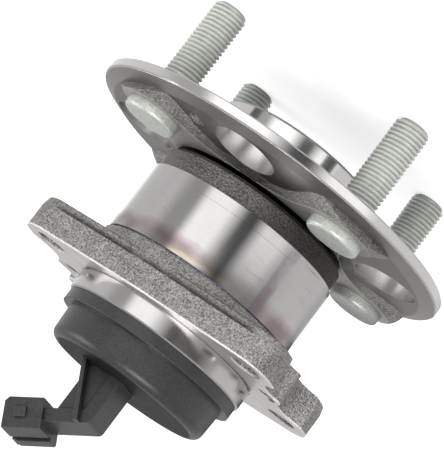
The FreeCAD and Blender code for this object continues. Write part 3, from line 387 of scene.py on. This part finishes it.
# Painted shade: the ring's end face by the seal gap is painted near black.
painted_gap_shade = ramp(ring_steel, z, ring_end + 0.10, ring_end + 0.03)
turned = grey(ring_steel, noise(ring_steel, place, 0.4, 2, 0.5, (1, 1, 0.1)), 0.44, 0.50,
              (1, 0.975, 0.965))
faced = grey(ring_steel, noise(ring_steel, place, 7.0, 2), 0.62, 0.84, (1, 0.955, 0.945))
colour = mix(ring_steel, ground_zone, forged, ground)
colour = mix(ring_steel, face_zone, colour, faced)
colour = mix(ring_steel, spigot_zone, colour, turned)
colour = mix(ring_steel, inside_zone, colour, (0.5, 0.5, 0.5, 1))
colour = mix(ring_steel, painted_gap_shade, colour, painted_shade_black)
wire(ring_steel, "Base Color", colour)
smooth_zone = sum_up(ring_steel, "MAXIMUM", inside_zone,
                     sum_up(ring_steel, "MAXIMUM", ground_zone, spigot_zone))
roughness = times_plus(ring_steel, smooth_zone, -0.35, 0.48)
roughness = times_plus(ring_steel, face_zone, -0.16, roughness)
roughness = times_plus(ring_steel, spigot_zone, 0.03, roughness)
wire(ring_steel, "Roughness", roughness)
rough_zone = sum_up(ring_steel, "SUBTRACT", 1.0,
                    sum_up(ring_steel, "MAXIMUM", smooth_zone, face_zone))
skin = relief(ring_steel, times(ring_steel, grain, rough_zone), 0.45)
skin = relief(ring_steel, times(ring_steel, scratch, ground_zone), 0.002, skin)
wire(ring_steel, "Normal", skin)
dress(ring_steel, "outer_ring")


# The hub is a forging too. Lathe work has cleaned its rim, both sides of its flange and the
# pilot; the four lobes under the stud heads and the foot of the boss keep the forged skin.
wheel_face = -58.6
lobe_top = -49.6
boss_radius = 32.2
boss_foot_radius = 36.5
knee_radius = 60.5
rim_radius = 65.8
stud_circle = 50.0
stud_turn = 36.3
access_circle = 48.2
access_turn = stud_turn - 45
access_radius = 11.3


def nearest_of_four(finish, x, y, turn, reach):
    """Distance to the nearest of four spots that stand square round the spin axis."""
    spun = step(finish, "VectorRotate", {"Vector": step(finish, "CombineXYZ", {0: x, 1: y}),
                                         "Angle": math.radians(-turn)}, rotation_type="Z_AXIS")
    split = finish.node_tree.nodes.new("ShaderNodeSeparateXYZ")
    finish.node_tree.links.new(spun, split.inputs[0])
    across, along = (sum_up(finish, "ABSOLUTE", side) for side in split.outputs[:2])
    far = sum_up(finish, "SUBTRACT", sum_up(finish, "MAXIMUM", across, along), reach)
    near = sum_up(finish, "MINIMUM", across, along)
    return sum_up(finish, "SQRT", times_plus(finish, far, far, times(finish, near, near)))


hub_steel = new_finish("turned_and_forged_steel", 1.0)
place, x, y, z, from_axis = place_in(hub_steel)
up = facing(hub_steel)
forged, grain = forged_skin(hub_steel, place)
# Painted shade on the forged skin near the boss, under the outer ring.
painted_boss_shade = ramp(hub_steel, from_axis, 46.0, 36.0)
forged = tinge(hub_steel, forged, painted_boss_shade, 0.6, (0.03, 0.027, 0.025))
rings = step(hub_steel, "TexNoise", {"Vector": step(hub_steel, "CombineXYZ", {0: from_axis, 1: z}),
                                     "Scale": 3.2, "Detail": 2}, normalize=True)
soft_clouds = noise(hub_steel, place, 10.0, 2)
fine = ramp(hub_steel, noise(hub_steel, place, 0.7, 3, 0.65), 0.30, 0.70)
worn = times_plus(hub_steel, rings, 0.35, times(hub_steel, fine, 0.30))
worn = times_plus(hub_steel, soft_clouds, 0.35, worn)
dull = grey(hub_steel, worn, 0.07, 0.27, (1, 0.955, 0.925))
lathe_marks = times_plus(hub_steel, rings, 0.5, times(hub_steel, soft_clouds, 0.5))
bright = grey(hub_steel, lathe_marks, 0.50, 0.64, (1, 0.985, 0.975))
wall = grey(hub_steel, soft_clouds, 0.42, 0.62, (1, 0.98, 0.97))
lobe = grey(hub_steel, grain, 0.25, 0.62, (1, 0.98, 0.95))

# Zones of the hub: walls of the access holes, tops of the lobes, the flat between them, the
# cone near the rim, the rim with the wheel side, and painted shade on the boss face where the seal
# rides.
to_hole = nearest_of_four(hub_steel, x, y, access_turn, access_circle)
hole_zone = ramp(hub_steel, to_hole, access_radius + 0.12, access_radius + 0.04)
lobe_top_zone = band(hub_steel, z, lobe_top - 0.15, lobe_top + 0.2, 0.05)
off_boss = ramp(hub_steel, from_axis, boss_foot_radius - 0.1, boss_foot_radius + 0.3)
off_boss = times(hub_steel, off_boss, ramp(hub_steel, z, lobe_top - 0.3, lobe_top - 0.5))
flat_zone = times(hub_steel, ramp(hub_steel, up, 0.965, 0.985), off_boss)
cone_zone = times(hub_steel, ramp(hub_steel, up, 0.90, 0.92),
                  ramp(hub_steel, from_axis, knee_radius - 0.3, knee_radius))
flat_zone = sum_up(hub_steel, "MAXIMUM", flat_zone, cone_zone)
rim_zone = sum_up(hub_steel, "MAXIMUM",
                  ramp(hub_steel, from_axis, rim_radius - 0.6, rim_radius - 0.4),
                  ramp(hub_steel, z, wheel_face + 0.7, wheel_face + 0.4))
# Painted shade: the boss face inside the seal is painted near black.
painted_gap_shade = times(hub_steel,
                    ramp(hub_steel, from_axis, boss_radius + 0.1, boss_radius - 0.1),
                    ramp(hub_steel, z, lobe_top - 0.1, lobe_top - 0.02))
dull = tinge(hub_steel, dull, cone_zone, 0.5, (0.44, 0.42, 0.405))
colour = mix(hub_steel, flat_zone, forged, dull)
colour = mix(hub_steel, lobe_top_zone, colour, lobe)
colour = mix(hub_steel, rim_zone, colour, bright)
colour = mix(hub_steel, hole_zone, colour, wall)
colour = mix(hub_steel, painted_gap_shade, colour, painted_shade_black)
wire(hub_steel, "Base Color", colour)
turned_zone = sum_up(hub_steel, "MAXIMUM", rim_zone, hole_zone)
roughness = times_plus(hub_steel, turned_zone, -0.34, 0.48)
roughness = times_plus(hub_steel, flat_zone, -0.10, roughness)
roughness = times_plus(hub_steel, hole_zone, 0.14, roughness)
wire(hub_steel, "Roughness", roughness)
rough_zone = sum_up(hub_steel, "SUBTRACT", 1.0,
                    sum_up(hub_steel, "MAXIMUM", turned_zone, flat_zone))
skin = relief(hub_steel, times(hub_steel, grain, rough_zone), 0.45)
lathed = sum_up(hub_steel, "SUBTRACT", 1.0, hole_zone)
skin = relief(hub_steel, times(hub_steel, rings, lathed), 0.006, skin)
wire(hub_steel, "Normal", skin)
dress(hub_steel, "hub_flange")


# Four M12x1.5 wheel studs, cold-formed and zinc plated, are pressed through the flange until
# their low round heads sit on the lobes. The thread is rolled and fades out at the tip.
pitch = 1.5
crest = 5.97
root = 5.10
stud_tip = -91.1
tip_radius = 4.55
tip_swell = 1.5
tip_length = 1.7
neck_radius = 6.34
head_radius = 9.4
head_side = 2.2
head_round = 1.3


def lathe(points, turns_up=0.0, steps=48):
    """Spins an outline of (radius, height) points in millimetres about the Z axis."""
    bm = bmesh.new()
    spots = [bm.verts.new((radius / 1000, 0, height / 1000)) for radius, height in points]
    chain = [bm.edges.new(pair) for pair in zip(spots, spots[1:])]
    bmesh.ops.spin(bm, geom=spots + chain, axis=(0, 0, 1), angle=2 * math.pi, steps=steps,
                   dvec=(0, 0, turns_up / 1000 / steps), use_merge=(turns_up == 0))
    bmesh.ops.remove_doubles(bm, verts=bm.verts, dist=1e-6)
    return bm


def crisp(bm, angle=32):
    """Smooth faces, with a hard line wherever two faces meet at more than this angle."""
    bmesh.ops.recalc_face_normals(bm, faces=bm.faces)
    for face in bm.faces:
        face.smooth = True
    for edge in bm.edges:
        if len(edge.link_faces) == 2:
            edge.smooth = edge.calc_face_angle() < math.radians(angle)


thread = []
turns = int((wheel_face - stud_tip) / pitch) + 3
for turn in range(turns):
    base = stud_tip - 1.5 * pitch + turn * pitch
    thread += [(root, base), (crest, base + 0.60), (crest, base + 0.84), (root, base + 1.42)]
bm = lathe(thread, turns_up=pitch)
for level, keep_above in ((stud_tip, True), (wheel_face - 0.05, False)):
    cut = bmesh.ops.bisect_plane(bm, geom=bm.verts[:] + bm.edges[:] + bm.faces[:],
                                 plane_co=(0, 0, level / 1000), plane_no=(0, 0, 1),
                                 clear_inner=keep_above, clear_outer=not keep_above)
    rim = [item for item in cut["geom_cut"] if isinstance(item, bmesh.types.BMEdge)]
    bmesh.ops.contextual_create(bm, geom=rim)
for vert in bm.verts:
    height = vert.co.z * 1000 - stud_tip
    swell = math.sin(min(height / tip_length, 1) * math.pi / 2)
    limit = (tip_radius + tip_swell * swell) / 1000
    radius = math.hypot(vert.co.x, vert.co.y)
    if radius > limit:
        vert.co.x *= limit / radius
        vert.co.y *= limit / radius
crisp(bm)
shank_mesh = bpy.data.meshes.new("stud_shank")
bm.to_mesh(shank_mesh)
bm.free()
head_outline = [(0, wheel_face - 0.04), (neck_radius - 0.04, wheel_face - 0.04),
                (neck_radius, lobe_top), (head_radius - 0.05, lobe_top),
                (head_radius, lobe_top + 0.1), (head_radius, lobe_top + head_side)]
for share in range(1, 7):
    bend = share * math.pi / 12
    head_outline.append((head_radius - head_round + head_round * math.cos(bend),
                         lobe_top + head_side + head_round * math.sin(bend)))
head_outline += [(6.5, lobe_top + 3.6), (3.5, lobe_top + 3.68), (0, lobe_top + 3.7)]
bm = lathe(head_outline, steps=64)
bm.from_mesh(shank_mesh)
crisp(bm)
stud_mesh = bpy.data.meshes.new("stud")
bm.to_mesh(stud_mesh)
bm.free()

zinc = new_finish("zinc_plating", 0.45)
place, x, y, z, from_axis = place_in(zinc)
spots = noise(zinc, place, 2.4, 4, 0.65)
fine = noise(zinc, place, 0.35, 2, 0.6)
frosted = times_plus(zinc, spots, 0.6, times(zinc, fine, 0.4))
colour = grey(zinc, frosted, 0.48, 1.0, (0.97, 1.0, 0.94))
to_stud = nearest_of_four(zinc, x, y, stud_turn, stud_circle)
# Painted shade in the thread roots of the shank.
painted_root_shade = times(zinc, ramp(zinc, to_stud, 5.75, 5.3),
               ramp(zinc, z, wheel_face + 0.6, wheel_face - 0.4))
colour = tinge(zinc, colour, painted_root_shade, 0.35, (0.15, 0.155, 0.14))
# Dark mottled stain on the stud heads, plus painted shade that grows with y and is darkest on the
# head at large y.
heads = ramp(zinc, z, lobe_top - 3.4, lobe_top - 0.4)
stain_and_painted_shade = times_plus(zinc, ramp(zinc, y, 28.0, 44.0), 0.45, 0.15)
stain_and_painted_shade = times(zinc, heads, times_plus(zinc, ramp(zinc, fine, 0.62, 0.42), 0.25, stain_and_painted_shade))
colour = mix(zinc, stain_and_painted_shade, colour, (0.10, 0.10, 0.09, 1))
wire(zinc, "Base Color", colour)
wire(zinc, "Roughness", between(zinc, spots, 0.34, 0.52))
wire(zinc, "Normal", relief(zinc, fine, 0.03))
for number in range(4):
    turn = math.radians(stud_turn + 90 * number)
    mesh = stud_mesh.copy()
    spot = (stud_circle / 1000 * math.cos(turn), stud_circle / 1000 * math.sin(turn), 0)
    mesh.transform(Matrix.Translation(spot) @ Matrix.Rotation(2.4 * number, 4, "Z"))
    mesh.materials.append(zinc)
    stud = bpy.data.objects.new("threaded_stud_%d" % (number + 1), mesh)
    bpy.context.scene.collection.objects.link(stud)
    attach(stud, "hub")
    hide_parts("wheel_stud_%d" % (number + 1))

# The wheel-side seal closes the ring slot behind the flange. Its lips ride on the turned land
# of the hub; the black rubber is moulded right over the pressed steel case.
rubber = new_finish("seal_rubber", 0.0)
place = place_in(rubber)[0]
bloom = noise(rubber, place, 3.0, 3, 0.6)
wire(rubber, "Base Color", grey(rubber, bloom, 0.012, 0.030))
wire(rubber, "Roughness", between(rubber, bloom, 0.5, 0.75))
wire(rubber, "Normal", relief(rubber, noise(rubber, place, 0.25), 0.02))
dress(rubber, "seal_lip", "seal_case", "cap_o_ring")
pressed = new_finish("pressed_steel", 1.0)
place = place_in(pressed)[0]
draw_marks = noise(pressed, place, 0.5, 2, 0.5, (0.1, 0.1, 1))
wire(pressed, "Base Color", grey(pressed, draw_marks, 0.42, 0.56))
wire(pressed, "Roughness", between(pressed, draw_marks, 0.25, 0.42))
wire(pressed, "Normal", relief(pressed, draw_marks, 0.01))
dress(pressed, "cap_sleeve", "encoder_carrier")

# The sensor cap is one moulding of glass-filled nylon, dark grey with a satin skin. It is
# pressed into the bore; its bent arm carries the plug housing with the latch and key rail.
cap_top = 22.7
cap_round_start = 27.0
plastic = new_finish("glass_filled_nylon", 0.0)
place, x, y, z, from_axis = place_in(plastic)
up = facing(plastic)
mottle = noise(plastic, place, 4.0, 4, 0.6)
pits = noise(plastic, place, 0.30, 2, 0.6)
dust = ramp(plastic, noise(plastic, place, 0.55, 3, 0.7), 0.35, 0.70)
dusty = times_plus(plastic, mottle, 0.5, times(plastic, dust, 0.5))
colour = grey(plastic, dusty, 0.010, 0.050, (1.0, 1.01, 1.03))
soft_edge = step(plastic, "Bevel", {"Radius": 0.0005}, samples=6)
flat = plastic.node_tree.nodes.new("ShaderNodeNewGeometry").outputs["Normal"]
bend = step(plastic, "VectorMath", {0: soft_edge, 1: flat}, operation="DOT_PRODUCT")
open_share = step(plastic, "AmbientOcclusion", {"Distance": 0.0015}, samples=8)
open_share = open_share.node.outputs["AO"]
# Painted highlight: edges found by the bevel normal are lightened where they stand open.
painted_edge_sheen = times(plastic, ramp(plastic, bend.node.outputs["Value"], 0.995, 0.90),
               ramp(plastic, open_share, 0.75, 0.95))
colour = tinge(plastic, colour, painted_edge_sheen, 0.35, (0.13, 0.13, 0.135))
# Painted shade: crevices that ambient occlusion finds are darkened to near black.
painted_crevice_shade = ramp(plastic, open_share, 0.85, 0.45)
colour = tinge(plastic, colour, painted_crevice_shade, 0.8, (0.006, 0.006, 0.006))
# Painted reflection: the cap's end face is painted a brownish near black.
painted_dark_end_face = times(plastic, ramp(plastic, up, 0.93, 0.99),
                 ramp(plastic, from_axis, cap_round_start, cap_round_start - 1.5))
painted_dark_end_face = times(plastic, painted_dark_end_face, band(plastic, z, cap_top - 1.0, cap_top + 0.6, 0.1))
colour = tinge(plastic, colour, painted_dark_end_face, 0.8, (0.010, 0.008, 0.007))
wire(plastic, "Base Color", colour)
satin = between(plastic, mottle, 0.28, 0.44)
wire(plastic, "Roughness", times_plus(plastic, painted_dark_end_face, 0.15, satin))
wire(plastic, "Specular IOR Level", times_plus(plastic, painted_dark_end_face, -0.42, 0.5))
wire(plastic, "Normal", relief(plastic, pits, 0.02, soft_edge))
dress(plastic, "sensor_cap")

# Inside the cap: the sensor body and its two tinned leads, whose ends are the plug's blades,
# and the magnet ring on the inner ring's shoulder that the sensor reads.
resin = new_finish("sensor_resin", 0.0)
place = place_in(resin)[0]
wire(resin, "Base Color", grey(resin, noise(resin, place, 1.5), 0.014, 0.026))
wire(resin, "Roughness", between(resin, noise(resin, place, 0.6), 0.25, 0.38))
dress(resin, "sensor_chip")
tinned = new_finish("tinned_brass", 1.0)
place = place_in(tinned)[0]
wire(tinned, "Base Color", grey(tinned, noise(tinned, place, 1.2, 3), 0.60, 0.76, (1, 0.97, 0.88)))
wire(tinned, "Roughness", between(tinned, noise(tinned, place, 0.4), 0.2, 0.36))
dress(tinned, "terminal_pin_1", "terminal_pin_2")
magnet = new_finish("magnet_rubber", 0.0)
place = place_in(magnet)[0]
wire(magnet, "Base Color", grey(magnet, noise(magnet, place, 2.0, 3), 0.030, 0.060))
wire(magnet, "Roughness", between(magnet, noise(magnet, place, 0.5), 0.55, 0.7))
dress(magnet, "encoder_ring")

# The bearing itself is closed in: hardened rings with ground tracks, two nylon cages with
# twelve polished balls each, and the plated nut that clamps the inner ring.
track_steel = new_finish("hardened_ring_steel", 1.0)
place = place_in(track_steel)[0]
lines = noise(track_steel, place, 0.3, 2, 0.5, (0.08, 0.08, 1))
wire(track_steel, "Base Color", grey(track_steel, lines, 0.52, 0.64))
wire(track_steel, "Roughness", between(track_steel, lines, 0.12, 0.24))
dress(track_steel, "inner_ring")
plated = new_finish("plated_nut", 1.0)
place = place_in(plated)[0]
patches = noise(plated, place, 3.0, 3)
wire(plated, "Base Color", grey(plated, patches, 0.40, 0.58, (0.98, 1, 0.95)))
wire(plated, "Roughness", between(plated, patches, 0.28, 0.42))
dress(plated, "spindle_nut")
nylon = new_finish("cage_nylon", 0.0)
place = place_in(nylon)[0]
wire(nylon, "Base Color", grey(nylon, noise(nylon, place, 5.0, 3), 0.55, 0.68, (1, 0.88, 0.58)))
wire(nylon, "Roughness", between(nylon, noise(nylon, place, 1.0), 0.4, 0.5))
dress(nylon, "outboard_cage", "inboard_cage")
polished = new_finish("polished_ball_steel", 1.0)
place = place_in(polished)[0]
haze = noise(polished, place, 2.0, 3)
wire(polished, "Base Color", grey(polished, haze, 0.66, 0.74))
wire(polished, "Roughness", between(polished, haze, 0.06, 0.12))
for row in ("outboard", "inboard"):
    for number in range(1, 13):
        dress(polished, "%s_ball_%02d" % (row, number))
